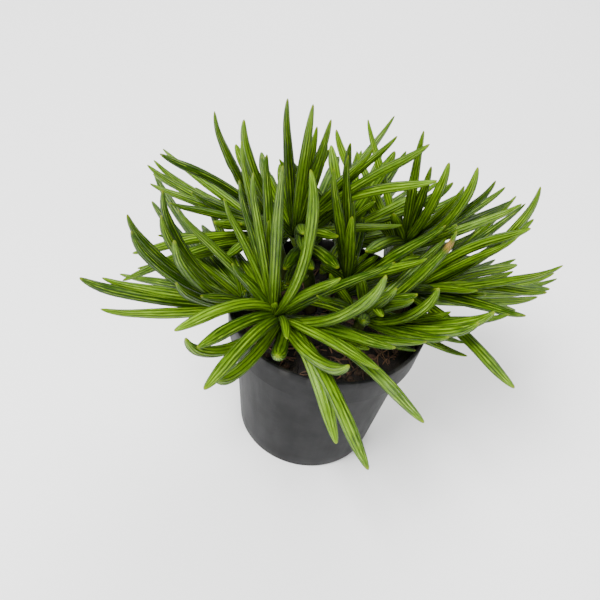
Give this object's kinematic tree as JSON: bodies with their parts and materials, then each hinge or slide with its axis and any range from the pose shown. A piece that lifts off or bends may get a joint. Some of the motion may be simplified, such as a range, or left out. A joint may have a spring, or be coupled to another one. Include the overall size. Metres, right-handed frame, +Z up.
{
  "type": "potted himalaya senecio",
  "caption": "Succulent with dense bunches of long, pointed finger leaves that radiate from short stems, in a small round tapered nursery pot with a stepped collar.",
  "frame": {"origin": "middle of the pot's flat underside", "axes": "+Z up along the pot's axis, -Y towards the side that the front rosette hangs over"},
  "size_m": [0.1193, 0.1085, 0.1199],
  "materials": {
    "pot_plastic": "matte with a soft sheen",
    "potting_mix": "rough",
    "leaf": "waxy gloss"
  },
  "bodies": {
    "root": {"pot": "pot_plastic", "soil": "potting_mix", "stem_front": "leaf", "stem_left": "leaf", "stem_left_back": "leaf", "stem_middle": "leaf", "stem_centre": "leaf", "stem_back": "leaf", "stem_right_front": "leaf", "stem_right": "leaf", "stem_back_right": "leaf"}
  },
  "joints": []
}
